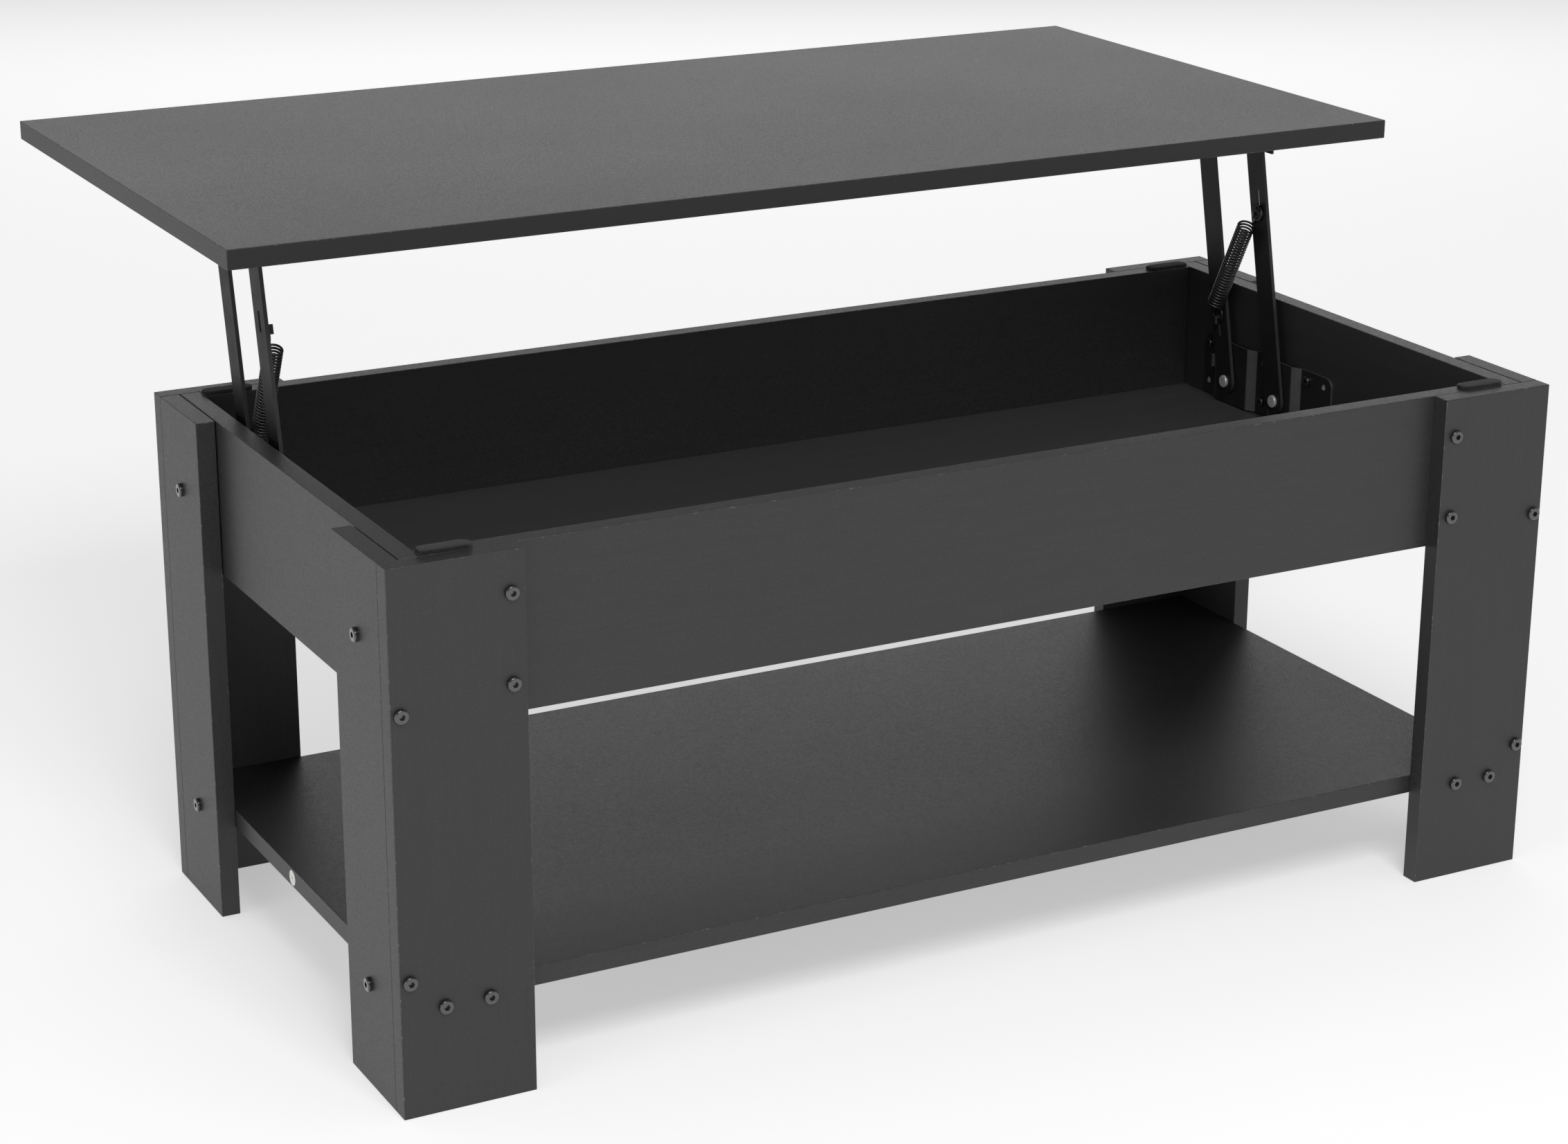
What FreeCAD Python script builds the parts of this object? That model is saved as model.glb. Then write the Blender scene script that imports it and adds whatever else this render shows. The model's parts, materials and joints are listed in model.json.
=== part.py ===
"""Lift top coffee table: a laminated box table whose top swings up on two parallel-arm lifts.

The model stands on Z = 0 with the top raised.  X runs along the table, Y runs from the
seated side to the far side and +Z is up.  Every piece is first built about the centre of
the base, and the finished model is then moved so that the middle of the whole footprint
lies on the origin.  The right-hand lift is modelled and mirrored to make the left one.
"""
import FreeCAD, Part
import math
import os

from FreeCAD import Vector

# ---------------------------------------------------------------- driving dimensions (mm)
board = 15.0                # thickness of every laminated board
edge_round = 0.6            # rounding of the banded board edges

base_length = 970.0         # over the leg boards, along X
base_width = 478.0          # over the leg boards, along Y
base_height = 402.0         # floor to the tops of the legs
top_overhang = 15.0         # top panel beyond the base on every side, when closed

leg_face_width = 100.0      # leg board on the long side
leg_side_width = 83.5       # leg board on the short side
box_height = 122.0          # height of the aprons and side panels
side_gap = 1.0              # between a side leg board and the side panel
joint_gap = 0.3             # between boards that meet at an edge
floor_recess = 1.0          # box floor above the lower edges of the aprons
shelf_height = 80.0         # mid-thickness of the shelf above the ground

felt_length = 39.0
felt_margin = 0.75         # of the apron's top edge left bare on each side of a pad
felt_thickness = 3.0
felt_end_gap = 0.5          # from the side panel's inner face to the pad
closed_gap = 0.05           # between the closed top and the felt

bolt_radius = 3.0
bolt_head_radius = 5.3
bolt_head_height = 3.4
bolt_end_gap = 1.0          # from the end of a bolt to the end of its insert
bolt_hole_clearance = 0.25
insert_radius = 4.5
insert_length = 12.0
hex_key = 4.0               # across the flats of the socket
thread_clearance = 0.05     # radial, between a screw and what it is driven into

apron_bolt_inset = 10.5     # from the inner edge of the leg board
apron_bolt_drops = (30.0, 95.0)     # below the tops of the legs
corner_bolt_heights = (103.0, 298.0)
shelf_bolt_insets = (33.0, 66.5)    # from the end of the table
side_bolt_drop = 63.0       # below the tops of the legs
side_bolt_inset = 56.75     # from the outer faces of the long sides

dowel_radius = 4.0
dowel_length = 24.0
dowel_count = 4             # along each long side
dowel_end_margin = 124.0    # from the side panels to the first and last dowels

# Lift: two equal arms on each side carry the top in a level arc.
arm_length = 224.0          # between its two rivets
arm_width = 22.0
arm_thickness = 3.0
arm_spacing = 72.0          # between the two arms' rivets, along Y
raised_angle = 78.0         # arm above the +Y direction with the top raised
pivot_to_apron = 75.0       # rear pivot from the inner face of the rear apron
pivot_rise = 20.0           # lower pivots above the lower edges of the brackets
pivot_drop = 14.0           # upper rivets below the underside of the top
washer = 1.0                # thickness of the washers beside the arms
washer_radius = 7.0
rivet_radius = 3.0
rivet_clearance = 0.05
rivet_head_radius = 5.4
rivet_head_height = 2.2
rivet_tail_radius = 4.4
rivet_tail_height = 1.3

sheet = 2.0                 # steel of the brackets
bracket_gap = 1.3           # brackets above the box floor
bracket_height = 54.0
pad_rise = 5.0              # raised pads stand this far off the side panel
bend_radius = 2.0
bracket_front = 68.0        # bracket before the front pivot
bracket_rear = 43.0         # bracket behind the rear pivot
front_pad = (17.5, 11.0)    # raised pad before and behind the front pivot
rear_pad = (25.5, 18.0)     # raised pad before and behind the rear pivot
joggle_run = 9.0            # length along Y of a step between pad and flange
bracket_corner = 8.0
bracket_edge_up = 8.6       # upper screws and holes below the bracket's upper edge
bracket_edge_low = 11.4     # lower screws and holes above the bracket's lower edge
front_screw_inset = 33.0    # from the bracket's front end
front_hole_inset = 10.6
rear_screw_inset = 7.0      # from the bracket's rear end
bracket_hole_radius = 2.7
pin_head_radius = 2.55      # plated pins that sit in the bracket's plain holes
pin_head_height = 1.1
pin_radius = 1.2
pin_depth = 10.0            # into the board behind the steel
screw_radius = 2.25
screw_head_radius = 4.5
screw_head_height = 2.9
screw_depth = 11.0          # into the board behind the steel
screw_key = 3.0
head_rounding = 0.4         # of a screw head's height
key_depth = 0.7             # of a screw head's height
rivet_rounding = 0.45       # of a rivet head's height
cut_margin = 1.0            # how far cutting shapes run past the surfaces they cut
near = 0.01                 # edges this close to a place are taken to lie on it

stop_height = 11.0
stop_rise = 9.7             # above the lower pivots
stop_reach = 7.0            # from the pad towards the middle of the table
stop_gap = 0.15             # to the raised arm

rail_web = 24.0             # depth of the rail below the top
rail_flange = 27.0
rail_margin = 22.0          # rail beyond each of its rivets
rail_screw_offsets = (-14.0, 36.0, 86.0)    # along Y from the front rivet
rail_screw_inset = 9.0      # from the inner edge of the flange

spring_radius = 7.75        # outside of the coil
spring_wire = 1.8
spring_side_clearance = 0.3
spring_seat_rear = 59.0     # lower spring eye from the rear arm's lower rivet
spring_seat_front = 161.0   # upper spring eye from the front arm's lower rivet
eye_radius = 6.3            # mid-line of the spring's end eyes
eye_to_coil = 12.8          # from the centre of an eye to the end of the coil
slot_length = 17.0
slot_width = 4.4
prong_width = 4.2
prong_offset = 2.3          # prong from the centre of the eye, away from the spring
prong_neck = 6.2            # how far the prong stands off the arm
prong_tip = 5.0
prong_thickness = 2.4
link_slack = 0.1            # the straight wire is this much thinner than the eye it joins
link_inset = 0.2            # from the end of the coil to the upper link, inside the coil's wall

label_radius = 6.0
label_thickness = 0.3
label_y = 14.5

# ---------------------------------------------------------------- derived places
half_length = base_length / 2
half_width = base_width / 2
top_length = base_length + 2 * top_overhang
top_width = base_width + 2 * top_overhang

panel_outer_x = half_length - board - side_gap
panel_inner_x = panel_outer_x - board
apron_outer_y = half_width - board
apron_inner_y = apron_outer_y - board
box_bottom = base_height - box_height
floor_bottom = box_bottom + floor_recess
floor_top = floor_bottom + board
bracket_bottom = floor_top + bracket_gap
bracket_top = bracket_bottom + bracket_height
pivot_height = bracket_bottom + pivot_rise
stop_bottom = pivot_height + stop_rise

flange_x = panel_inner_x - sheet            # face of a bracket flange
pad_x = flange_x - pad_rise                 # face of a raised pad
arm_outer_x = pad_x - washer
arm_inner_x = arm_outer_x - arm_thickness
rear_pivot_y = apron_inner_y - pivot_to_apron
front_pivot_y = rear_pivot_y - arm_spacing
bracket_ends = (front_pivot_y - bracket_front, rear_pivot_y + bracket_rear)
middle_flange = (front_pivot_y + front_pad[1] + joggle_run, rear_pivot_y - rear_pad[0] - joggle_run)
middle_screw_y = sum(middle_flange) / 2
bracket_screws_yz = (
    (bracket_ends[0] + front_screw_inset, bracket_top - bracket_edge_up),
    (middle_screw_y, bracket_bottom + bracket_edge_low),
    (bracket_ends[1] - rear_screw_inset, bracket_top - bracket_edge_up))
bracket_holes_yz = (
    (bracket_ends[0] + front_hole_inset, bracket_top - bracket_edge_up),
    (middle_screw_y, bracket_top - bracket_edge_up),
    (bracket_ends[1] - rear_screw_inset, bracket_bottom + bracket_edge_low))

closed_underside = base_height + felt_thickness + closed_gap
closed_pivot_height = closed_underside - pivot_drop
closed_angle = 180 - math.degrees(math.asin((closed_pivot_height - pivot_height) / arm_length))
swing = closed_angle - raised_angle
raised_pivot_height = pivot_height + arm_length * math.sin(math.radians(raised_angle))
raised_underside = raised_pivot_height + pivot_drop
arm_lean = arm_length * math.cos(math.radians(raised_angle))
top_shift = arm_lean - arm_length * math.cos(math.radians(closed_angle))

# The whole footprint runs from the front bolt heads to the far edge of the raised top.
footprint_front = -half_width - bolt_head_height
footprint_rear = top_shift + top_width / 2
origin_y = (footprint_front + footprint_rear) / 2

pieces = {}


# ---------------------------------------------------------------- small helpers
def box(low, high):
    """A plain block between two opposite corners."""
    size = [b - a for a, b in zip(low, high)]
    return Part.makeBox(size[0], size[1], size[2], Vector(*low))


def board_box(low, high):
    """A laminated board: a block with softly rounded edges."""
    block = box(low, high)
    return block.makeFillet(edge_round, block.Edges)


def rod(start, axis, radius, length):
    return Part.makeCylinder(radius, length, Vector(*start), Vector(*axis))


def hex_prism(start, axis, across_flats, depth):
    """A hexagonal block that starts at a point and runs along an axis."""
    corner = across_flats / math.sqrt(3)
    points = []
    for k in range(7):
        turn = math.radians(60 * k)
        points.append(Vector(corner * math.cos(turn), corner * math.sin(turn), 0))
    prism = Part.Face(Part.makePolygon(points)).extrude(Vector(0, 0, depth))
    prism.Placement = FreeCAD.Placement(Vector(*start), FreeCAD.Rotation(Vector(0, 0, 1), Vector(*axis)))
    return prism


def mirrored(shape, normal):
    """A copy reflected in the plane through the centre of the base."""
    return shape.mirror(Vector(0, 0, 0), Vector(*normal))


def fused(shapes):
    result = shapes[0]
    for shape in shapes[1:]:
        result = result.fuse(shape)
    return result.removeSplitter()


def add(name, shapes):
    """Keep one node, made of one solid or of a group of separate solids."""
    pieces[name] = shapes if isinstance(shapes, list) else [shapes]


def socket_screw(seat, inward, radius, length, head_radius, head_height, key):
    """A round-headed socket screw: its head sits on `seat` and its shank runs inward."""
    outward = tuple(-value for value in inward)
    head = rod(seat, outward, head_radius, head_height)
    rim = max(head.Edges, key=lambda edge: edge.CenterOfMass.dot(Vector(*outward)))
    head = head.makeFillet(head_height * head_rounding, [rim])
    screw = head.fuse(rod(seat, inward, radius, length)).removeSplitter()
    mouth = [s + o * head_height for s, o in zip(seat, outward)]
    return screw.cut(hex_prism(mouth, inward, key, head_height * key_depth))


cutters = {}


def drill(node, tool):
    """Remember a hole to be cut from a board when the boards are finished."""
    cutters.setdefault(node, []).append(tool)


def bolted_joint(seat, inward, reach, outer_node, inner_node):
    """A bolt through one board into a threaded insert in the next one."""
    bolt = socket_screw(seat, inward, bolt_radius, reach + insert_length - bolt_end_gap,
                        bolt_head_radius, bolt_head_height, hex_key)
    face = [s + i * reach for s, i in zip(seat, inward)]
    insert = rod(face, inward, insert_radius, insert_length)
    insert = insert.cut(rod(face, inward, bolt_radius + thread_clearance, insert_length))
    drill(outer_node, rod(seat, inward, bolt_radius + bolt_hole_clearance, board))
    drill(inner_node, rod(face, inward, insert_radius, insert_length))
    return bolt, insert


# ---------------------------------------------------------------- boards
def leg_name(sx, sy, which):
    side = "left" if sx < 0 else "right"
    end = "front" if sy < 0 else "rear"
    return f"{end}_{side}_leg_{which}"


def sorted_box(xs, ys, zs):
    """A board given by two values on each axis, in any order."""
    low = [min(pair) for pair in (xs, ys, zs)]
    high = [max(pair) for pair in (xs, ys, zs)]
    return board_box(low, high)


corners = [(sx, sy) for sx in (-1, 1) for sy in (-1, 1)]
boards = {}

for sx, sy in corners:
    end_x, end_y = sx * half_length, sy * half_width
    boards[leg_name(sx, sy, "face")] = sorted_box(
        (end_x, end_x - sx * leg_face_width), (end_y, end_y - sy * board), (0, base_height))
    boards[leg_name(sx, sy, "side")] = sorted_box(
        (end_x, end_x - sx * board),
        (end_y - sy * (board + joint_gap), end_y - sy * (board + leg_side_width)),
        (0, base_height))

for sy, name in ((-1, "front_apron"), (1, "rear_apron")):
    boards[name] = sorted_box(
        (joint_gap - panel_inner_x, panel_inner_x - joint_gap),
        (sy * apron_outer_y, sy * apron_inner_y), (box_bottom, base_height))

for sx, name in ((-1, "left_side_panel"), (1, "right_side_panel")):
    boards[name] = sorted_box(
        (sx * panel_outer_x, sx * panel_inner_x),
        (joint_gap - apron_outer_y, apron_outer_y - joint_gap), (box_bottom, base_height))

boards["box_floor"] = sorted_box(
    (joint_gap - panel_inner_x, panel_inner_x - joint_gap),
    (joint_gap - apron_inner_y, apron_inner_y - joint_gap), (floor_bottom, floor_top))

shelf_end_x = half_length - board - joint_gap
shelf_edge_y = half_width - board - joint_gap
boards["shelf"] = sorted_box(
    (-shelf_end_x, shelf_end_x), (-shelf_edge_y, shelf_edge_y),
    (shelf_height - board / 2, shelf_height + board / 2))

# ---------------------------------------------------------------- bolts, inserts and dowels
apron_bolts, corner_bolts, side_panel_bolts = [], [], []
shelf_edge_bolts, shelf_end_bolts = [], []

for sx, sy in corners:
    face_board, side_board = leg_name(sx, sy, "face"), leg_name(sx, sy, "side")
    apron = "front_apron" if sy < 0 else "rear_apron"
    panel = "left_side_panel" if sx < 0 else "right_side_panel"
    inward_x, inward_y = (-sx, 0, 0), (0, -sy, 0)
    side_bolt_y = sy * (half_width - side_bolt_inset)

    for drop in apron_bolt_drops:
        seat = (sx * (half_length - leg_face_width + apron_bolt_inset), sy * half_width, base_height - drop)
        apron_bolts.append(bolted_joint(seat, inward_y, board, face_board, apron))
    for height in corner_bolt_heights:
        seat = (sx * (half_length - board / 2), sy * half_width, height)
        corner_bolts.append(bolted_joint(seat, inward_y, board + joint_gap, face_board, side_board))
    for inset in shelf_bolt_insets:
        seat = (sx * (half_length - inset), sy * half_width, shelf_height)
        shelf_edge_bolts.append(bolted_joint(seat, inward_y, board + joint_gap, face_board, "shelf"))

    seat = (sx * half_length, side_bolt_y, base_height - side_bolt_drop)
    side_panel_bolts.append(bolted_joint(seat, inward_x, board + side_gap, side_board, panel))
    seat = (sx * half_length, side_bolt_y, shelf_height)
    shelf_end_bolts.append(bolted_joint(seat, inward_x, board + joint_gap, side_board, "shelf"))

for group, bolts in (("apron", apron_bolts), ("leg_corner", corner_bolts), ("side_panel", side_panel_bolts),
                     ("shelf_edge", shelf_edge_bolts), ("shelf_end", shelf_end_bolts)):
    add(f"{group}_bolts", [bolt for bolt, _ in bolts])
    add(f"{group}_inserts", [insert for _, insert in bolts])

dowels = []
last_dowel_x = panel_inner_x - dowel_end_margin
for sy, apron in ((-1, "front_apron"), (1, "rear_apron")):
    for k in range(dowel_count):
        x = last_dowel_x * (2 * k / (dowel_count - 1) - 1)
        start = (x, sy * (apron_inner_y + dowel_length / 2), floor_bottom + board / 2)
        inward = (0, -sy, 0)
        dowels.append(rod(start, inward, dowel_radius, dowel_length))
        drill(apron, rod(start, inward, dowel_radius, dowel_length))
        drill("box_floor", rod(start, inward, dowel_radius, dowel_length))
add("floor_dowels", dowels)

# ---------------------------------------------------------------- felt pads and label
pads = []
felt_width = board - 2 * felt_margin
for sx, sy in corners:
    outer_x = sx * (panel_inner_x - felt_end_gap)
    middle_y = sy * (apron_inner_y + apron_outer_y) / 2
    low = (min(outer_x, outer_x - sx * felt_length), middle_y - felt_width / 2, base_height)
    high = (low[0] + felt_length, middle_y + felt_width / 2, base_height + felt_thickness)
    pads.append(box(low, high))
add("felt_pads", pads)

add("blank_label", rod((-shelf_end_x, label_y, shelf_height), (-1, 0, 0), label_radius, label_thickness))


# ---------------------------------------------------------------- lift hardware, right-hand side
def bent_strip(corners_xy, thickness, radius, bottom, height):
    """Upright sheet steel that follows a line with rounded bends, extruded upwards."""
    points = [Vector(x, y, 0) for x, y in corners_xy]
    runs = [(b - a).normalize() for a, b in zip(points, points[1:])]
    sides = []
    for offset in (thickness / 2, -thickness / 2):
        edges = []
        normal = Vector(-runs[0].y, runs[0].x, 0)
        cursor = points[0] + normal * offset
        for corner, before, after in zip(points[1:], runs, runs[1:]):
            turn = math.atan2(before.cross(after).z, before.dot(after))
            tangent = radius * math.tan(abs(turn) / 2)
            sign = 1 if turn > 0 else -1
            n0 = Vector(-before.y, before.x, 0)
            n1 = Vector(-after.y, after.x, 0)
            centre = corner - before * tangent + n0 * (sign * radius)
            start = corner - before * tangent + n0 * offset
            finish = corner + after * tangent + n1 * offset
            middle = centre + (corner - centre).normalize() * (radius - sign * offset)
            edges.append(Part.LineSegment(cursor, start).toShape())
            edges.append(Part.Arc(start, middle, finish).toShape())
            cursor = finish
        normal = Vector(-runs[-1].y, runs[-1].x, 0)
        end = points[-1] + normal * offset
        edges.append(Part.LineSegment(cursor, end).toShape())
        sides.append((edges, points[0] + Vector(-runs[0].y, runs[0].x, 0) * offset, end))
    (left, left_start, left_end), (right, right_start, right_end) = sides
    caps = [Part.LineSegment(left_end, right_end).toShape(),
            Part.LineSegment(right_start, left_start).toShape()]
    outline = Part.Wire(Part.__sortEdges__(left + right + caps))
    strip = Part.Face(outline).extrude(Vector(0, 0, height))
    strip.translate(Vector(0, 0, bottom))
    return strip


def base_bracket():
    """Bent steel plate on the side panel: flange, pad, flange, pad, flange, with a stop lug."""
    flange = panel_inner_x - sheet / 2
    pad = pad_x + sheet / 2
    line = [(flange, bracket_ends[0])]
    for y, (before, behind) in ((front_pivot_y, front_pad), (rear_pivot_y, rear_pad)):
        line.append((flange, y - before - joggle_run))
        line.append((pad, y - before))
        line.append((pad, y + behind))
        line.append((flange, y + behind + joggle_run))
    line.append((flange, bracket_ends[1]))
    plate = bent_strip(line, sheet, bend_radius + sheet / 2, bracket_bottom, bracket_height)

    corner_edges = []
    for edge in plate.Edges:
        middle = edge.CenterOfMass
        at_end = min(abs(middle.y - y) for y in bracket_ends) < near
        if at_end and abs(edge.Length - sheet) < near and middle.z > bracket_top - bracket_height / 2:
            corner_edges.append(edge)
    plate = plate.makeFillet(bracket_corner, corner_edges)

    # The steel behind the rear pad is cut away above the stop, and the stop is bent inwards.
    stop_top = stop_bottom + stop_height
    lean = (stop_top - pivot_height) / math.tan(math.radians(raised_angle))
    arm_edge = rear_pivot_y + lean + arm_width / 2 / math.sin(math.radians(raised_angle))
    stop_y = arm_edge + stop_gap
    notch_end = rear_pivot_y + rear_pad[1] + joggle_run - sheet
    plate = plate.cut(box((pad_x - cut_margin, stop_y + sheet, stop_bottom),
                          (panel_inner_x + cut_margin, notch_end, bracket_top + cut_margin)))
    lug = box((pad_x - stop_reach, stop_y, stop_bottom), (pad_x + sheet, stop_y + sheet, stop_top))
    plate = fused([plate, lug])

    for y, z in bracket_holes_yz + bracket_screws_yz:
        plate = plate.cut(rod((pad_x, y, z), (1, 0, 0), bracket_hole_radius, pad_rise + 2 * sheet))
    for y in (front_pivot_y, rear_pivot_y):
        plate = plate.cut(rod((pad_x, y, pivot_height), (1, 0, 0), rivet_radius, sheet))
    return plate


def bracket_screw(y, z):
    return socket_screw((flange_x, y, z), (1, 0, 0), screw_radius, sheet + screw_depth,
                        screw_head_radius, screw_head_height, screw_key)


def bracket_pin(y, z):
    """Plated pin whose flat head rests on the side panel inside one of the bracket's holes."""
    head = rod((panel_inner_x - pin_head_height, y, z), (1, 0, 0), pin_head_radius, pin_head_height)
    return fused([head, rod((panel_inner_x, y, z), (1, 0, 0), pin_radius, pin_depth)])


def rivet(y, z, plate_x):
    """Domed rivet through an arm, its washer and a steel plate whose face is at plate_x."""
    start = arm_inner_x - rivet_clearance
    head = rod((start, y, z), (-1, 0, 0), rivet_head_radius, rivet_head_height)
    rim = min(head.Edges, key=lambda edge: edge.CenterOfMass.x)
    head = head.makeFillet(rivet_head_height * rivet_rounding, [rim])
    shank = rod((start, y, z), (1, 0, 0), rivet_radius, plate_x + sheet - start)
    tail = rod((plate_x + sheet, y, z), (1, 0, 0), rivet_tail_radius, rivet_tail_height)
    return fused([head, shank, tail])


def washer_ring(y, z):
    gap = rivet_clearance
    ring = rod((arm_outer_x + gap, y, z), (1, 0, 0), washer_radius, washer - gap)
    return ring.cut(rod((arm_outer_x, y, z), (1, 0, 0), rivet_radius, washer))


def along_arm(pivot_y, distance, across=0.0):
    """Y and Z of a point on the raised arm, measured from its lower rivet."""
    turn = math.radians(raised_angle)
    y = pivot_y + distance * math.cos(turn) - across * math.sin(turn)
    z = pivot_height + distance * math.sin(turn) + across * math.cos(turn)
    return y, z


def lift_arm(pivot_y, seat, tip_way):
    """Flat bar with round ends and a prong, lanced from a slot, that holds a spring eye.

    It is drawn lying along +Y from its lower rivet, and then turned up to the raised angle.
    """
    half = arm_width / 2
    bar = box((arm_inner_x, 0, -half), (arm_outer_x, arm_length, half))
    for y in (0, arm_length):
        bar = bar.fuse(rod((arm_inner_x, y, 0), (1, 0, 0), half, arm_thickness))
    bar = bar.removeSplitter()
    for y in (0, arm_length):
        bar = bar.cut(rod((arm_inner_x, y, 0), (1, 0, 0), rivet_radius + rivet_clearance, arm_thickness))

    neck_y = seat + tip_way * prong_offset
    slot_start = neck_y if tip_way > 0 else neck_y - slot_length
    slot = box((arm_inner_x, slot_start, -slot_width / 2),
               (arm_outer_x, slot_start + slot_length, slot_width / 2))
    bar = bar.cut(slot)
    half_prong = prong_width / 2
    root = slot_start if tip_way > 0 else slot_start + slot_length
    neck_from = root - prong_thickness / 2
    neck = box((arm_inner_x - prong_neck, neck_from, -half_prong),
               (arm_outer_x, neck_from + prong_thickness, half_prong))
    tip_from = neck_from if tip_way > 0 else neck_from - prong_tip
    tip_x = arm_inner_x - prong_neck
    tip = box((tip_x, tip_from, -half_prong),
              (tip_x + prong_thickness, tip_from + prong_tip + prong_thickness, half_prong))
    bar = fused([bar, neck, tip])
    bar.rotate(Vector(0, 0, 0), Vector(1, 0, 0), raised_angle)
    bar.translate(Vector(0, pivot_y, pivot_height))
    return bar


def top_rail():
    """Angle-section steel under the top that carries the upper ends of both arms."""
    front_y, pivot_z = along_arm(front_pivot_y, arm_length)
    low_y = front_y - rail_margin
    high_y = front_y + arm_spacing + rail_margin
    web = box((pad_x, low_y, raised_underside - rail_web), (pad_x + sheet, high_y, raised_underside))
    flange = box((pad_x + sheet - rail_flange, low_y, raised_underside - sheet),
                 (pad_x + sheet, high_y, raised_underside))
    rail = fused([web, flange])
    bends = [edge for edge in rail.Edges
             if abs(edge.Length - (high_y - low_y)) < near
             and abs(edge.CenterOfMass.x - pad_x - sheet) < near
             and abs(edge.CenterOfMass.z - raised_underside) < near]
    rail = rail.makeFillet(sheet, bends)
    for y in (front_y, front_y + arm_spacing):
        rail = rail.cut(rod((pad_x, y, pivot_z), (1, 0, 0), rivet_radius, sheet))
    return rail, front_y


def rail_screws(rail, front_y):
    """Screws up through the rail's flange into the top, with the holes they need."""
    screws, holes = [], []
    x = pad_x + sheet - rail_flange + rail_screw_inset
    for offset in rail_screw_offsets:
        y = front_y + offset
        seat = (x, y, raised_underside - sheet)
        screws.append(socket_screw(seat, (0, 0, 1), screw_radius, sheet + screw_depth,
                                   screw_head_radius, screw_head_height, screw_key))
        rail = rail.cut(rod(seat, (0, 0, 1), bracket_hole_radius, sheet))
        holes.append(rod((x, y, raised_underside), (0, 0, 1), screw_radius + thread_clearance, screw_depth))
    return rail, screws, holes


def eye(centre, x):
    """Closed wire eye at the end of a spring, lying flat beside the arm."""
    return Part.makeTorus(eye_radius, spring_wire / 2, Vector(x, *centre), Vector(1, 0, 0))


def spring_pieces():
    """Coil with its lower eye, and the upper eye that the coil stretches to."""
    coil_x = arm_inner_x - spring_side_clearance - spring_radius
    eye_x = arm_inner_x - spring_side_clearance - spring_wire / 2
    lower = along_arm(rear_pivot_y, spring_seat_rear)
    upper = along_arm(front_pivot_y, spring_seat_front)
    run = Vector(0, upper[0] - lower[0], upper[1] - lower[1])
    pull = Vector(run).normalize()
    coil_length = run.Length - 2 * eye_to_coil
    start = Vector(coil_x, *lower) + pull * eye_to_coil
    end = start + pull * coil_length
    coil = Part.makeCylinder(spring_radius, coil_length, start, pull)
    coil = coil.cut(Part.makeCylinder(spring_radius - spring_wire, coil_length, start, pull))

    # Straight links join each eye to the near side of the coil.
    link_radius = spring_wire / 2 - link_slack
    link_shift = Vector(eye_x - coil_x, 0, 0)
    link_start = Vector(eye_x, *lower) + pull * (eye_radius - spring_wire / 4)
    link_length = eye_to_coil - eye_radius + spring_wire
    lower_link = Part.makeCylinder(link_radius, link_length, link_start, pull)
    upper_start = end + link_shift + pull * link_inset
    upper_length = eye_to_coil - eye_radius + spring_wire / 4 - link_inset
    upper_link = Part.makeCylinder(link_radius, upper_length, upper_start, pull)
    return fused([coil, lower_link, eye(lower, eye_x)]), fused([upper_link, eye(upper, eye_x)])


right = {}
right["base_bracket"] = [base_bracket()]
right["bracket_screws"] = [bracket_screw(y, z) for y, z in bracket_screws_yz]
right["bracket_pins"] = [bracket_pin(y, z) for y, z in bracket_holes_yz]
right["lower_rivets"] = [rivet(y, pivot_height, pad_x) for y in (front_pivot_y, rear_pivot_y)]
right["lower_washers"] = [washer_ring(y, pivot_height) for y in (front_pivot_y, rear_pivot_y)]
right["rear_arm"] = [lift_arm(rear_pivot_y, spring_seat_rear, -1)]
right["front_arm"] = [lift_arm(front_pivot_y, spring_seat_front, 1)]

rail, rail_front_y = top_rail()
rail, right["rail_screws"], top_holes = rail_screws(rail, rail_front_y)
right["top_rail"] = [rail]
upper_pivots = [(rail_front_y, raised_pivot_height), (rail_front_y + arm_spacing, raised_pivot_height)]
right["upper_rivets"] = [rivet(y, z, pad_x) for y, z in upper_pivots]
right["upper_washers"] = [washer_ring(y, z) for y, z in upper_pivots]
spring, spring_hook = spring_pieces()
right["spring_coil"] = [spring]
right["spring_upper_eye"] = [spring_hook]

across = (1, 0, 0)
panel_holes = [(y, z, screw_radius, screw_depth) for y, z in bracket_screws_yz]
panel_holes += [(y, z, pin_radius, pin_depth) for y, z in bracket_holes_yz]
for y, z, radius, depth in panel_holes:
    hole = rod((panel_inner_x, y, z), across, radius + thread_clearance, depth)
    drill("right_side_panel", hole)
    drill("left_side_panel", mirrored(hole, across))

paired = ("bracket_screws", "bracket_pins", "lower_rivets", "lower_washers",
          "rail_screws", "upper_rivets", "upper_washers")
for name, shapes in right.items():
    left = [mirrored(shape, across) for shape in shapes]
    if name in paired:
        add(name, shapes + left)
    else:
        add(f"right_{name}", shapes)
        add(f"left_{name}", left)

# ---------------------------------------------------------------- top panel and drilled boards
boards["table_top"] = board_box(
    (-top_length / 2, top_shift - top_width / 2, raised_underside),
    (top_length / 2, top_shift + top_width / 2, raised_underside + board))
for hole in top_holes:
    drill("table_top", hole)
    drill("table_top", mirrored(hole, across))

for name, shape in boards.items():
    for tool in cutters.get(name, []):
        shape = shape.cut(tool)
    add(name, shape)

# ---------------------------------------------------------------- export
os.makedirs("parts", exist_ok=True)
for name, shapes in pieces.items():
    whole = shapes[0] if len(shapes) == 1 else Part.makeCompound(shapes)
    whole.translate(Vector(0, -origin_y, 0))
    whole.exportStep(f"parts/{name}.step")
    valid = all(solid.isValid() for solid in whole.Solids)
    print(f"{name:26s} solids {len(whole.Solids):2d}  volume {whole.Volume / 1000:9.2f} cm3  valid {valid}")

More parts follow.
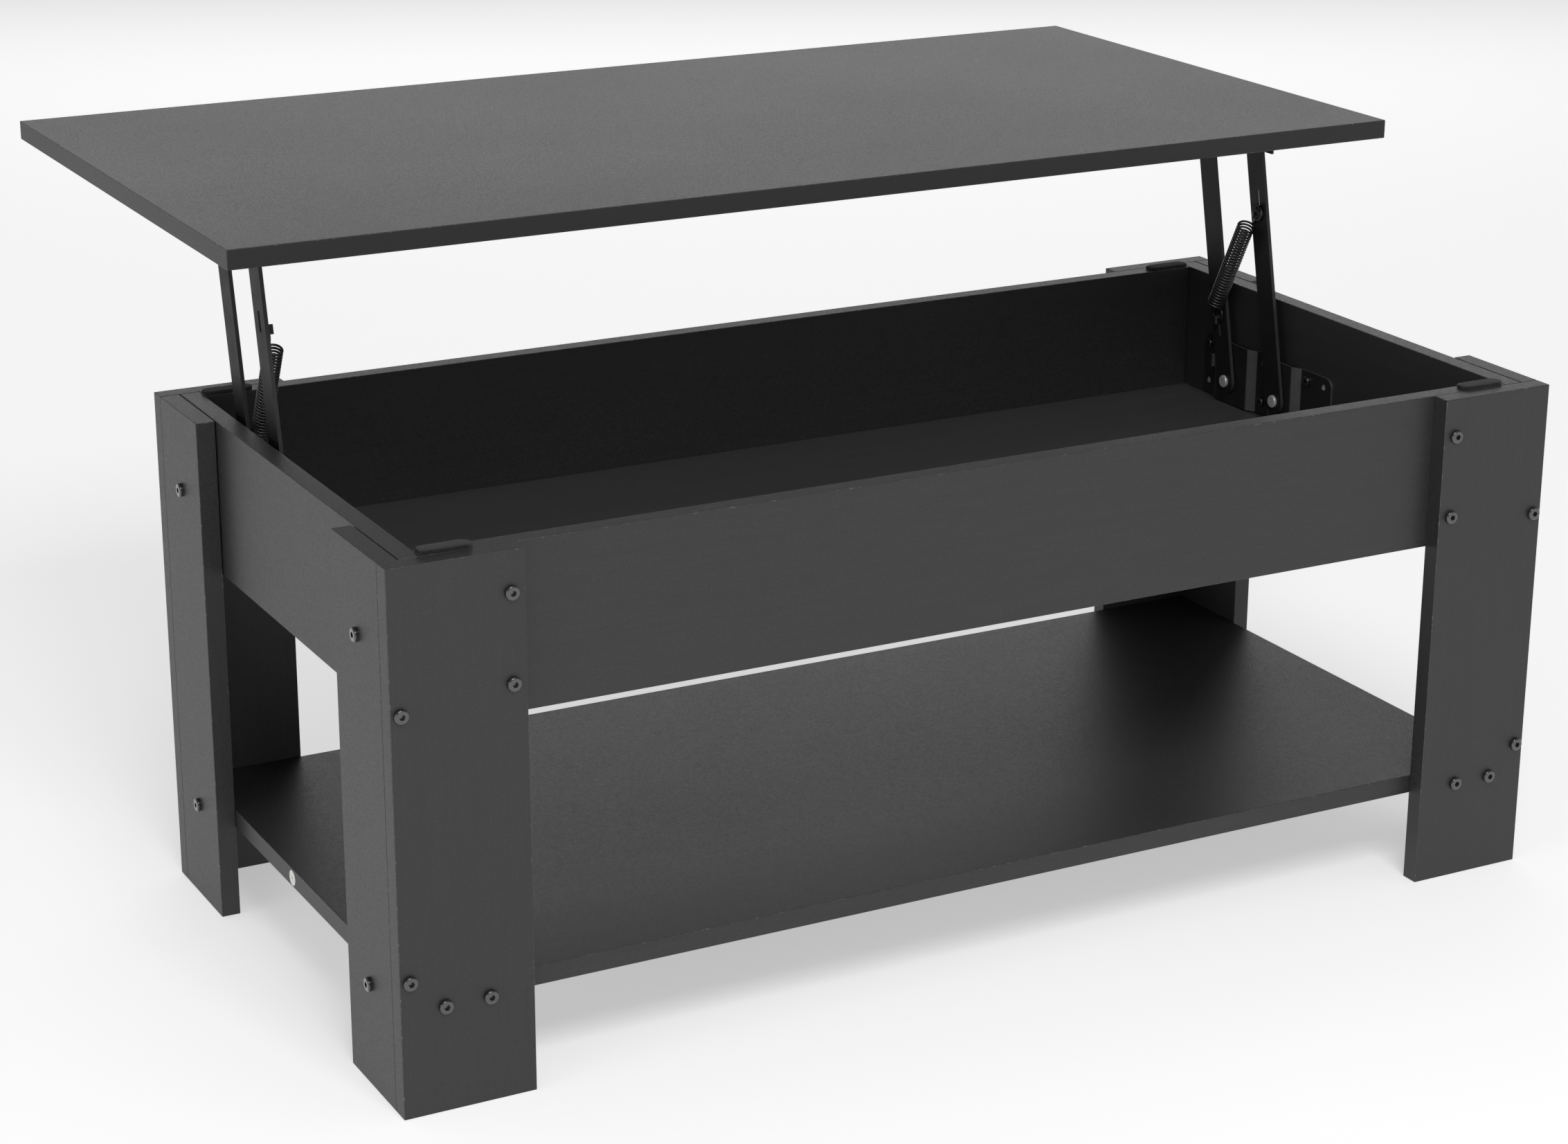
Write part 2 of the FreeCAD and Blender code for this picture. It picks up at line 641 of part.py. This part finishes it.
print(f"swing {swing:.4f} deg, top shift {top_shift:.3f}, underside {raised_underside:.3f}")
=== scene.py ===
"""Looks of the lift top coffee table: laminate boards, painted steel lifts, wire springs and felt pads."""
import json
import math
import random

import bmesh
import bpy
from mathutils import Matrix, Vector, noise


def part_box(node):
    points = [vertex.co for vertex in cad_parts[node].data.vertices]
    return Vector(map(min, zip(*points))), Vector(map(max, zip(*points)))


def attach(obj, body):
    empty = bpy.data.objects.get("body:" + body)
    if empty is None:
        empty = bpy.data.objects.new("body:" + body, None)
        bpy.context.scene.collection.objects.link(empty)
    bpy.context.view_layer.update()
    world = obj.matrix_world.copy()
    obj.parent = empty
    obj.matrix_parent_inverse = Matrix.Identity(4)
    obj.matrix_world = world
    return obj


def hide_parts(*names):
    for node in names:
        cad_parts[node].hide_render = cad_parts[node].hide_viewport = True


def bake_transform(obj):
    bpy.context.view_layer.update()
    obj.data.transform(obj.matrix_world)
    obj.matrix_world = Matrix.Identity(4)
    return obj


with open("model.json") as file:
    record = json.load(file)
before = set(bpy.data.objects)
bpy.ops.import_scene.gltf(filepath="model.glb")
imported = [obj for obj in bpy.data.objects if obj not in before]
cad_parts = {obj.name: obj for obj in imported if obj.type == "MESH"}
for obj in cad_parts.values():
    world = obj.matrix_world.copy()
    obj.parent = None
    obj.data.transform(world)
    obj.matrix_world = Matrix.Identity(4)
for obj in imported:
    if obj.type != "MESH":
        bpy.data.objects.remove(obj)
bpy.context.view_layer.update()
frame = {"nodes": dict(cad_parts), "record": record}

# ---------------------------------------------------------------- camera (metres and degrees)
camera_from_base = Vector((-1.24925, -2.23117, 1.12347))    # from the middle of the base, on the floor
camera_azimuth = -28.008
camera_elevation = 18.832
camera_roll = 0.175
camera_near = 0.05
camera_far = 60.0
lens_mm = 78.6946
sensor_mm = 36.0


def low_high(node):
    """Lowest and highest corners of a CAD node at rest."""
    low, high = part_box(node)
    return Vector(low), Vector(high)


def middle(node):
    low, high = low_high(node)
    return (low + high) / 2


base_middle = middle("shelf")
base_middle.z = 0.0


def make_camera():
    a, e = math.radians(camera_azimuth), math.radians(camera_elevation)
    back = Vector((math.sin(a) * math.cos(e), -math.cos(a) * math.cos(e), math.sin(e)))
    data = bpy.data.cameras.new("camera")
    data.sensor_width = sensor_mm
    data.lens = lens_mm
    data.clip_start = camera_near
    data.clip_end = camera_far
    camera = bpy.data.objects.new("camera", data)
    camera.rotation_mode = "QUATERNION"
    turn = (-back).to_track_quat("-Z", "Y")
    camera.rotation_quaternion = turn @ Matrix.Rotation(math.radians(camera_roll), 4, "Z").to_quaternion()
    camera.location = base_middle + camera_from_base
    bpy.context.collection.objects.link(camera)
    bpy.context.scene.camera = camera


make_camera()


# ---------------------------------------------------------------- material helpers
class Nodes:
    """Short ways to add and join shader nodes of one material."""

    def __init__(self, name):
        self.material = bpy.data.materials.new(name)
        self.material.use_nodes = True
        self.tree = self.material.node_tree
        self.shader = self.tree.nodes["Principled BSDF"]

    def add(self, kind, **settings):
        node = self.tree.nodes.new(kind)
        for key, value in settings.items():
            setattr(node, key, value)
        return node

    def put(self, socket, value):
        if hasattr(value, "is_linked"):
            self.tree.links.new(value, socket)
        else:
            socket.default_value = value

    def math(self, operation, a, b=0.0, c=None, clamp=False):
        node = self.add("ShaderNodeMath", operation=operation, use_clamp=clamp)
        self.put(node.inputs[0], a)
        self.put(node.inputs[1], b)
        if c is not None:
            self.put(node.inputs[2], c)
        return node.outputs[0]

    def coordinates(self, scale=(1, 1, 1)):
        position = self.add("ShaderNodeTexCoord").outputs["Object"]
        mapping = self.add("ShaderNodeMapping")
        self.put(mapping.inputs["Vector"], position)
        mapping.inputs["Scale"].default_value = scale
        return mapping.outputs[0]

    def noise(self, vector, scale, detail=2.0, roughness=0.5, distortion=0.0):
        node = self.add("ShaderNodeTexNoise")
        self.put(node.inputs["Vector"], vector)
        node.inputs["Scale"].default_value = scale
        node.inputs["Detail"].default_value = detail
        node.inputs["Roughness"].default_value = roughness
        node.inputs["Distortion"].default_value = distortion
        return node.outputs["Fac"]

    def remap(self, value, low, high, new_low, new_high):
        node = self.add("ShaderNodeMapRange")
        node.clamp = True
        for socket, item in zip(node.inputs, (value, low, high, new_low, new_high)):
            self.put(socket, item)
        return node.outputs[0]

    def swing(self, value, depth, centre=0.0, reach=0.2):
        """Noise, which stays near 0.5, turned into a swing of `depth` about `centre`."""
        return self.remap(value, 0.5 - reach, 0.5 + reach, centre - depth, centre + depth)

    def total(self, first, *others):
        for other in others:
            first = self.math("ADD", first, other)
        return first

    def mix(self, share, a, b):
        node = self.add("ShaderNodeMix", data_type="RGBA")
        self.put(node.inputs[0], share)
        self.put(node.inputs[6], a)
        self.put(node.inputs[7], b)
        return node.outputs[2]

    def tint(self, colour, factor):
        """A colour made lighter or darker by a factor about 1."""
        node = self.add("ShaderNodeVectorMath", operation="SCALE")
        node.inputs[0].default_value = colour[:3]
        self.put(node.inputs["Scale"], factor)
        return node.outputs[0]

    def bump(self, height, distance, strength=1.0):
        node = self.add("ShaderNodeBump")
        node.inputs["Distance"].default_value = distance
        node.inputs["Strength"].default_value = strength
        self.put(node.inputs["Height"], height)
        self.put(self.shader.inputs["Normal"], node.outputs[0])

    def set(self, **sockets):
        for key, value in sockets.items():
            self.put(self.shader.inputs[key.replace("_", " ")], value)


def grey(value, warm=0.0):
    return (value * (1 + warm), value, value * (1 - warm), 1.0)


# ---------------------------------------------------------------- laminate
laminate_grey = 0.027
seam_grey = laminate_grey * 0.3
# colour of the painted highlight along every arris
arris_highlight_grey = laminate_grey * 3.2
chip_grey = 0.2
banding_seam = 0.0009       # distance of the banding's seam from the board's arris
seam_width = 0.00025
arris = 0.0008              # width of the painted highlight along every edge of a board
painted_light_board_tones = {"box_floor": 2.4}                # boards drawn paler as painted light, standing in for the light that falls on them
painted_shade_edge_tones = {"table_top": (0.4, 0.28)}      # painted shade on the end and long edges, against the face
grain_stretch = 0.06        # grain and streaks run along the board's longest side

# How many features there are in a metre, for each kind of mark.
cloud_scale = 5.0
streak_scale = 90.0
arris_highlight_scale = 130.0
chip_scale = 260.0
grain_scale = 420.0
pebble_scale = 760.0
speckle_scale = 1900.0

# How far each kind of mark moves the tone.
cloud_depth = 0.03
streak_depth = 0.045
grain_depth = 0.05
speckle_depth = 0.13
pebble_depth = 0.2

# How much of the seam's, the painted arris highlight's and the chips' grey shows, and how dull and rough
# the laminate is.
seam_share = 0.6
arris_highlight_share = 0.55
chip_share = 0.55
laminate_rough = 0.46
laminate_specular = 0.45
laminate_relief = 0.00014


def laminate(node):
    """Satin charcoal laminate with a faint grain along the board, edge banding, small chips and a painted
    highlight along every arris.
    """
    low, high = low_high(node)
    size = high - low
    along = max(range(3), key=lambda k: size[k])
    n = Nodes(f"laminate_{node}")

    stretch = [1.0, 1.0, 1.0]
    stretch[along] = grain_stretch
    plain = n.coordinates()
    grained = n.coordinates(tuple(stretch))
    cloud = n.noise(plain, cloud_scale, 3.0)
    grain = n.noise(grained, grain_scale, 3.0, 0.6)
    streak = n.noise(grained, streak_scale, 4.0, 0.65)
    speckle = n.noise(plain, speckle_scale, 1.0, 0.5)
    pebble = n.noise(plain, pebble_scale, 2.0, 0.6)

    tone = n.total(n.swing(cloud, cloud_depth, 1.0), n.swing(grain, grain_depth),
                   n.swing(streak, streak_depth), n.swing(speckle, speckle_depth, reach=0.25),
                   n.swing(pebble, pebble_depth))
    # Painted light: the box floor is drawn paler to stand in for the light that falls on it.
    tone = n.math("MULTIPLY", tone, painted_light_board_tones.get(node, 1.0))
    # Painted shade: the table top's end and long edges are darkened against its face, the long edges more.
    if node in painted_shade_edge_tones:
        facing = n.add("ShaderNodeSeparateXYZ")
        n.put(facing.inputs[0], n.add("ShaderNodeTexCoord").outputs["Normal"])
        for k, share in enumerate(painted_shade_edge_tones[node]):
            side = n.math("ABSOLUTE", facing.outputs[k])
            tone = n.math("MULTIPLY", tone, n.remap(side, 0.4, 0.9, 1.0, share))

    # The middle one of the distances to the board's three pairs of faces is the distance to its arris.
    split = n.add("ShaderNodeSeparateXYZ")
    n.put(split.inputs[0], plain)
    gaps = []
    for k in range(3):
        centre = (low[k] + high[k]) / 2
        off = n.math("ABSOLUTE", n.math("SUBTRACT", split.outputs[k], centre))
        gaps.append(n.math("SUBTRACT", size[k] / 2, off))
    a, b, c = gaps
    edge = n.math("MAXIMUM", n.math("MINIMUM", a, b), n.math("MINIMUM", n.math("MAXIMUM", a, b), c))
    seam = n.remap(n.math("ABSOLUTE", n.math("SUBTRACT", edge, banding_seam)), 0.0, seam_width, 1.0, 0.0)
    # Painted highlight: a paler line along every arris, broken up by noise.
    arris_highlight = n.remap(edge, 0.0, arris, 1.0, 0.0)
    arris_highlight = n.math("MULTIPLY", arris_highlight, n.remap(n.noise(plain, arris_highlight_scale, 3.0, 0.6), 0.3, 0.6, 0.45, 1.0))
    worn = n.remap(n.noise(plain, chip_scale, 4.0, 0.7), 0.57, 0.66, 0.0, 1.0)
    chip = n.math("MULTIPLY", n.remap(edge, arris * 0.4, arris * 1.3, 1.0, 0.0), worn)

    colour = n.tint(grey(laminate_grey), tone)
    colour = n.mix(n.math("MULTIPLY", seam, seam_share), colour, grey(seam_grey))
    colour = n.mix(n.math("MULTIPLY", arris_highlight, arris_highlight_share), colour, grey(arris_highlight_grey))
    colour = n.mix(n.math("MULTIPLY", chip, chip_share), colour, grey(chip_grey, 0.05))
    rough = n.total(n.swing(pebble, 0.08, laminate_rough), n.swing(cloud, 0.01))
    n.set(Base_Color=colour, Roughness=rough)
    n.shader.inputs["Specular IOR Level"].default_value = laminate_specular
    relief = n.math("ADD", n.math("MULTIPLY", speckle, 0.3), n.math("MULTIPLY", pebble, 0.7))
    n.bump(relief, laminate_relief, 0.5)
    return n.material


# ---------------------------------------------------------------- metal, wood, felt and paper
def painted_steel(name, value, rough, metal=0.0, coat=0.0, specular=0.5,
                  painted_highlight_tone=1.0, painted_highlight_span=(0.3, 0.8)):
    """Powder-coated or blackened steel with a fine skin and slight handling marks.

    Surfaces turned away from the X axis are drawn paler as a painted highlight: the edges of bars and the
    bracket's folds.
    """
    n = Nodes(name)
    plain = n.coordinates()
    skin = n.noise(plain, 900.0, 2.0)
    smear = n.noise(plain, 45.0, 4.0, 0.6)
    tone = n.total(n.swing(skin, 0.12, 1.0), n.swing(smear, 0.1))
    # Painted highlight: faces turned away from the X axis are made paler.
    if painted_highlight_tone != 1.0:
        facing = n.add("ShaderNodeSeparateXYZ")
        n.put(facing.inputs[0], n.add("ShaderNodeTexCoord").outputs["Normal"])
        flat = n.math("ABSOLUTE", facing.outputs[0])
        tone = n.math("MULTIPLY", tone, n.remap(flat, *painted_highlight_span, painted_highlight_tone, 1.0))
    n.set(Base_Color=n.tint(grey(value), tone), Metallic=metal)
    n.set(Roughness=n.total(n.remap(smear, 0.3, 0.7, rough - 0.05, rough + 0.06), n.swing(skin, 0.03)))
    n.shader.inputs["Specular IOR Level"].default_value = specular
    n.shader.inputs["Coat Weight"].default_value = coat
    n.shader.inputs["Coat Roughness"].default_value = 0.2
    n.bump(skin, 0.00006, 0.5)
    return n.material


def bare_steel(name, value, rough, metal=1.0):
    """Plated steel with fine turned and brushed marks."""
    n = Nodes(name)
    plain = n.coordinates()
    brushed = n.noise(n.coordinates((1.0, 0.15, 1.0)), 2600.0, 3.0, 0.6)
    stain = n.noise(plain, 320.0, 3.0)
    tone = n.total(n.remap(brushed, 0.3, 0.7, 0.9, 1.08), n.remap(stain, 0.35, 0.7, 0.0, -0.2))
    n.set(Base_Color=n.tint(grey(value, 0.01), tone), Metallic=metal)
    n.set(Roughness=n.remap(stain, 0.3, 0.7, rough - 0.06, rough + 0.08))
    n.bump(brushed, 0.00004, 0.5)
    return n.material


beech_dark = (0.42, 0.27, 0.14, 1)
beech_pale = (0.62, 0.44, 0.26, 1)


def beech(name):
    """Pale turned wood with its grain along the dowel."""
    n = Nodes(name)
    grain = n.noise(n.coordinates((1.0, 0.08, 1.0)), 700.0, 4.0, 0.6)
    n.set(Base_Color=n.mix(grain, beech_dark, beech_pale), Roughness=0.7)
    n.bump(grain, 0.0001, 0.4)
    return n.material


def felt(name):
    """Matted black fibre."""
    n = Nodes(name)
    plain = n.coordinates()
    matted = n.noise(plain, 900.0, 5.0, 0.75, 1.5)
    clump = n.noise(plain, 220.0, 3.0)
    tone = n.total(n.remap(matted, 0.3, 0.7, 0.55, 1.5), n.swing(clump, 0.15))
    n.set(Base_Color=n.tint(grey(0.016), tone), Roughness=0.95)
    n.shader.inputs["Sheen Weight"].default_value = 0.15
    n.shader.inputs["Sheen Roughness"].default_value = 0.5
    n.bump(matted, 0.0006, 0.9)
    return n.material


paper_white = (0.78, 0.77, 0.74, 1)
dimple_edge = (0.0009, 0.0014)      # distances from the middle between which the dimple fades out
dimple_share = 0.55


def paper(name):
    """Plain white disc with a small dark dimple at its middle."""
    n = Nodes(name)
    plain = n.coordinates()
    fibre = n.noise(plain, 1500.0, 4.0, 0.7)
    away = n.add("ShaderNodeVectorMath", operation="DISTANCE")
    n.put(away.inputs[0], plain)
    away.inputs[1].default_value = middle("blank_label")
    dimple = n.remap(away.outputs["Value"], *dimple_edge, dimple_share, 0.0)
    white = n.tint(paper_white, n.remap(fibre, 0.3, 0.7, 0.93, 1.04))
    n.set(Base_Color=n.mix(dimple, white, grey(0.12)), Roughness=0.6)
    n.bump(fibre, 0.00003, 0.5)
    return n.material


materials = {
    # The lift arms' bar edges get a painted highlight.
    "lift_steel_black": painted_steel("lift_steel_black", 0.014, 0.46, specular=0.12, painted_highlight_tone=3.0),
    "hardware_black": painted_steel("hardware_black", 0.012, 0.2, coat=0.6, specular=1.0),
    "spring_black": painted_steel("spring_black", 0.012, 0.3, specular=0.7),
    "rivet_steel": bare_steel("rivet_steel", 0.72, 0.34, 0.45),
    "zinc_insert": bare_steel("zinc_insert", 0.5, 0.42),
    "beech_dowel": beech("beech_dowel"),
    "felt_black": felt("felt_black"),
    "label_white": paper("label_white"),
}

# The bracket's inclined fold faces get a painted highlight.
bracket_paint = painted_steel("bracket_black", 0.02, 0.34, metal=0.35, specular=1.0,
                              painted_highlight_tone=4.5, painted_highlight_span=(0.885, 0.985))

for row in frame["record"]["subparts"]:
    node, slot = row["node"], row["material_slot"]
    material = laminate(node) if slot == "laminate_black" else materials[slot]
    if node.endswith("base_bracket"):
        material = bracket_paint
    mesh = frame["nodes"][node].data
    if not mesh.materials:
        mesh.materials.append(material)
    for k in range(len(mesh.materials)):
        mesh.materials[k] = material


# ---------------------------------------------------------------- mesh helpers
def new_piece(name, mesh, material, smooth=True):
    mesh.materials.append(material)
    for polygon in mesh.polygons:
        polygon.use_smooth = smooth
    piece = bpy.data.objects.new(name, mesh)
    bpy.context.collection.objects.link(piece)
    return piece


wire_dome = 0.6             # height of a wire's domed end, in radii of the wire


def tube_mesh(name, path, radius, sides=10, start_across=None):
    """Closed round wire that follows a path, with domed ends and no twist."""
    mesh = bmesh.new()
    rings = []
    across = start_across
    count = len(path)
    for k, point in enumerate(path):
        ahead = (path[min(k + 1, count - 1)] - path[max(k - 1, 0)]).normalized()
        if across is None:
            across = ahead.orthogonal()
        across = (across - ahead * across.dot(ahead)).normalized()
        other = ahead.cross(across)
        ring = []
        for s in range(sides):
            turn = 2 * math.pi * s / sides
            ring.append(mesh.verts.new(point + (across * math.cos(turn) + other * math.sin(turn)) * radius))
        rings.append(ring)
    for one, two in zip(rings, rings[1:]):
        for s in range(sides):
            mesh.faces.new((one[s], one[(s + 1) % sides], two[(s + 1) % sides], two[s]))
    first, last = (path[0] - path[1]).normalized(), (path[-1] - path[-2]).normalized()
    for ring, centre, way, flip in ((rings[0], path[0], first, True), (rings[-1], path[-1], last, False)):
        tip = mesh.verts.new(centre + way * radius * wire_dome)
        for s in range(sides):
            pair = (ring[s], ring[(s + 1) % sides])
            mesh.faces.new((pair[1], pair[0], tip) if flip else (pair[0], pair[1], tip))
    data = bpy.data.meshes.new(name)
    bmesh.ops.recalc_face_normals(mesh, faces=mesh.faces)
    mesh.to_mesh(data)
    mesh.free()
    return data


# ---------------------------------------------------------------- springs
spring_wire = 0.0019
spring_coil_radius = 0.0067         # mid-line of the wire
spring_eye_radius = 0.0063
spring_turns = 29
eye_to_coil = 0.0128                # from the middle of an eye to the end of the coil
eye_sweep = math.radians(338)       # each eye stops just short of a closed ring
cad_half_wire = 0.0009
turn_steps = 22
eye_steps = 26
bridge_steps = 5
wire_sides = 8


def joint(name):
    return next(item for item in frame["record"]["behaviour"]["joints"] if item["name"] == name)


def make_spring(side):
    """Extension spring: a coil between its two eyes, built with its lower eye as one fixed wire, and an
    upper eye attached to the spring eye's body.
    """
    sign = 1 if side == "right" else -1
    lower = Vector(joint(f"{side}_spring_turn")["pos_m"])
    pull = Vector(joint(f"{side}_spring_stretch")["axis"]).normalized()
    eye_low, eye_high = low_high(f"{side}_spring_upper_eye")
    eye_x = (eye_low.x + eye_high.x) / 2
    out = Vector((sign, 0, 0))
    side_way = out.cross(pull)

    # The upper eye's centre lies one eye radius and half a wire below the node's top.
    upper_z = eye_high.z - spring_eye_radius - cad_half_wire
    length = (upper_z - lower.z) / pull.z
    upper = lower + pull * length
    eye_shift = eye_x - lower.x
    coil_length = length - 2 * eye_to_coil

    start = lower + pull * eye_to_coil
    total = spring_turns * turn_steps
    helix = []
    for k in range(total + 1):
        turn = 2 * math.pi * k / turn_steps
        ring = (out * math.cos(turn) + side_way * math.sin(turn)) * spring_coil_radius
        helix.append(start + pull * (coil_length * k / total) + ring)

    def eye_path(centre, towards, coil_end):
        """From the coil's end, across to the eye's plane and once round the eye."""
        middle_point = Vector((centre.x + eye_shift, centre.y, centre.z))
        loop = []
        for k in range(eye_steps + 1):
            turn = eye_sweep * k / eye_steps
            ring = towards * math.cos(turn) + side_way * math.sin(turn)
            loop.append(middle_point + ring * spring_eye_radius)
        bridge = []
        for k in range(1, bridge_steps):
            share = k / bridge_steps
            ease = share * share * (3 - 2 * share)
            bridge.append(coil_end.lerp(loop[0], ease))
        return bridge + loop

    lower_eye = list(reversed(eye_path(lower, pull, helix[0])))
    coil = tube_mesh(f"{side}_coil_wire", lower_eye + helix, spring_wire / 2, wire_sides, out)
    coil = new_piece(f"{side}_spring_coil_wire", coil, materials["spring_black"])
    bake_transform(coil)
    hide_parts(f"{side}_spring_coil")

    upper_eye = tube_mesh(f"{side}_eye_wire", [helix[-1]] + eye_path(upper, -pull, helix[-1]),
                          spring_wire / 2, wire_sides, out)
    upper_eye = new_piece(f"{side}_spring_eye_wire", upper_eye, materials["spring_black"])
    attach(upper_eye, f"{side}_spring_eye")
    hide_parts(f"{side}_spring_upper_eye")


for spring_side in ("left", "right"):
    make_spring(spring_side)


# ---------------------------------------------------------------- felt pads
felt_length = 0.039
felt_width = 0.0135
felt_first_seed = 11
fibre_count = 520
fibre_half = 0.00009
fibre_root = 0.0008
fibre_reach = (0.0005, 0.0013)
felt_ruffle = 0.00035
felt_ruffle_scale = 520.0
felt_shrink = 0.985
felt_grid = (44, 16, 5)             # steps along, across and up the pad
felt_end_share = 0.42               # radius of a pad's rounded end, as a share of its width
felt_end_pull = 0.8                 # how far the rounded end narrows the pad
felt_end_least = 0.15
felt_crown_across = 0.18            # how much lower the long edges and the ends are than the middle
felt_crown_along = 0.16
fibre_spread = 1.25                 # spreads the fibres' roots towards the pad's corners
fibre_heights = (0.25, 0.9)
fibre_clearance_below = 0.0001
fibre_clearance_above = 0.00005


def felt_pad(name, low, high, seed):
    """A soft pad with rounded ends, a crowned top and loose fibres."""
    random.seed(seed)
    noise.seed_set(seed)
    size = high - low
    centre = (low + high) / 2
    columns, rows, layers = felt_grid
    mesh = bmesh.new()
    end_radius = size.y * felt_end_share
    grid = {}

    def place(u, v, w):
        x, y = (u - 0.5) * size.x, (v - 0.5) * size.y
        over = abs(x) - (size.x / 2 - end_radius)
        if over > 0:
            y *= math.sqrt(max(felt_end_least, 1 - (over / end_radius) ** 2 * felt_end_pull))
        crown = 1 - felt_crown_across * (abs(2 * v - 1) ** 4) - felt_crown_along * (abs(2 * u - 1) ** 10)
        point = Vector((x, y, w * size.z * crown))
        rough = noise.noise_vector((point + centre) * felt_ruffle_scale) * felt_ruffle
        rough.z = min(rough.z, 0.0) if w == 1 else rough.z * w
        if w == 0:
            rough.z = 0
        return Vector((centre.x, centre.y, low.z)) + point * felt_shrink + rough

    for i in range(columns + 1):
        for j in range(rows + 1):
            for k in range(layers + 1):
                if i in (0, columns) or j in (0, rows) or k in (0, layers):
                    grid[i, j, k] = mesh.verts.new(place(i / columns, j / rows, k / layers))

    def quad(*keys):
        mesh.faces.new([grid[key] for key in keys])

    for i in range(columns):
        for j in range(rows):
            for k in (0, layers):
                quad((i, j, k), (i + 1, j, k), (i + 1, j + 1, k), (i, j + 1, k))
        for k in range(layers):
            for j in (0, rows):
                quad((i, j, k), (i + 1, j, k), (i + 1, j, k + 1), (i, j, k + 1))
    for j in range(rows):
        for k in range(layers):
            for i in (0, columns):
                quad((i, j, k), (i, j + 1, k), (i, j + 1, k + 1), (i, j, k + 1))

    # Loose fibres: thin closed spikes that lean out of the sides and the rim.
    for _ in range(fibre_count):
        angle = random.uniform(0, 2 * math.pi)
        u = 0.5 + 0.5 * max(-1, min(1, fibre_spread * math.cos(angle)))
        v = 0.5 + 0.5 * max(-1, min(1, fibre_spread * math.sin(angle)))
        root = place(u, v, random.uniform(*fibre_heights))
        way_x = math.cos(angle) + random.uniform(-1.5, 1.5)
        way_y = math.sin(angle) * 1.2 + random.uniform(-1, 1)
        way = Vector((way_x, way_y, random.uniform(-0.5, 0.25))).normalized()
        inner = root - way * fibre_root
        tip = root + way * random.uniform(*fibre_reach)
        tip.z = max(low.z + fibre_clearance_below, min(high.z - fibre_clearance_above, tip.z))
        side_one = way.orthogonal().normalized() * fibre_half
        side_two = way.cross(side_one).normalized() * fibre_half
        feet = [mesh.verts.new(inner + offset) for offset in (side_one, side_two, -side_one - side_two)]
        point = mesh.verts.new(tip)
        for p, q in ((0, 1), (1, 2), (2, 0)):
            mesh.faces.new((feet[p], feet[q], point))
        mesh.faces.new(feet[::-1])

    bmesh.ops.recalc_face_normals(mesh, faces=mesh.faces)
    data = bpy.data.meshes.new(name)
    mesh.to_mesh(data)
    mesh.free()
    piece = new_piece(name, data, materials["felt_black"])
    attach(piece, "frame")
    return piece


felt_low, felt_high = low_high("felt_pads")
felt_size = Vector((felt_length, felt_width, felt_high.z - felt_low.z))
for number, (felt_x, felt_y) in enumerate(((-1, -1), (-1, 1), (1, -1), (1, 1))):
    corner_x = felt_low.x if felt_x < 0 else felt_high.x - felt_size.x
    corner_y = felt_low.y if felt_y < 0 else felt_high.y - felt_size.y
    pad_low = Vector((corner_x, corner_y, felt_low.z))
    pad = felt_pad(f"felt_pad_{number + 1}", pad_low, pad_low + felt_size, felt_first_seed + number)
    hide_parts("felt_pads")


# ---------------------------------------------------------------- studio
floor_glow = 0.45
floor_half = 14.0
horizon_strength = 0.85
sky_strength = 0.28
sky_fade = (0.08, 0.34)     # heights on the unit sphere between which the sky dims


def make_floor():
    data = bpy.data.meshes.new("floor")
    corners = [(x * floor_half, y * floor_half, 0) for x, y in ((-1, -1), (1, -1), (1, 1), (-1, 1))]
    data.from_pydata(corners, [], [(0, 1, 2, 3)])
    floor = bpy.data.objects.new("floor", data)
    n = Nodes("pale_floor")
    n.set(Base_Color=(0.93, 0.93, 0.93, 1), Roughness=0.9)
    n.shader.inputs["Specular IOR Level"].default_value = 0.1
    n.shader.inputs["Emission Color"].default_value = (1, 1, 1, 1)
    n.shader.inputs["Emission Strength"].default_value = floor_glow
    data.materials.append(n.material)
    bpy.context.collection.objects.link(floor)


def area_light(name, place, aim, size, power):
    data = bpy.data.lights.new(name, "AREA")
    data.shape = "RECTANGLE"
    data.size, data.size_y = size
    data.energy = power
    light = bpy.data.objects.new(name, data)
    light.location = base_middle + Vector(place)
    light.rotation_mode = "QUATERNION"
    light.rotation_quaternion = (Vector(aim) - Vector(place)).to_track_quat("-Z", "Y")
    bpy.context.collection.objects.link(light)


make_floor()
table_heart = (0, 0.1, 0.35)
area_light("behind", (1.7, 3.6, 1.5), table_heart, (4.0, 1.3), 16.0)
area_light("front_high", (-0.6, -2.5, 3.0), table_heart, (1.6, 1.2), 50.0)
area_light("left", (-3.2, -0.7, 1.0), (0.3, 0, 0.3), (1.6, 0.8), 8.0)


def make_world():
    """White surroundings, brightest at the horizon, where they carry on from the floor."""
    world = bpy.data.worlds.new("studio")
    bpy.context.scene.world = world
    world.use_nodes = True
    tree = world.node_tree
    split = tree.nodes.new("ShaderNodeSeparateXYZ")
    fade = tree.nodes.new("ShaderNodeMapRange")
    fade.interpolation_type = "SMOOTHSTEP"
    tree.links.new(tree.nodes.new("ShaderNodeTexCoord").outputs["Generated"], split.inputs[0])
    tree.links.new(split.outputs["Z"], fade.inputs[0])
    for socket, value in zip(list(fade.inputs)[1:5], (*sky_fade, horizon_strength, sky_strength)):
        socket.default_value = value
    background = tree.nodes["Background"]
    background.inputs["Color"].default_value = (1, 1, 1, 1)
    tree.links.new(fade.outputs[0], background.inputs["Strength"])


make_world()
bpy.context.scene.view_settings.view_transform = "Standard"
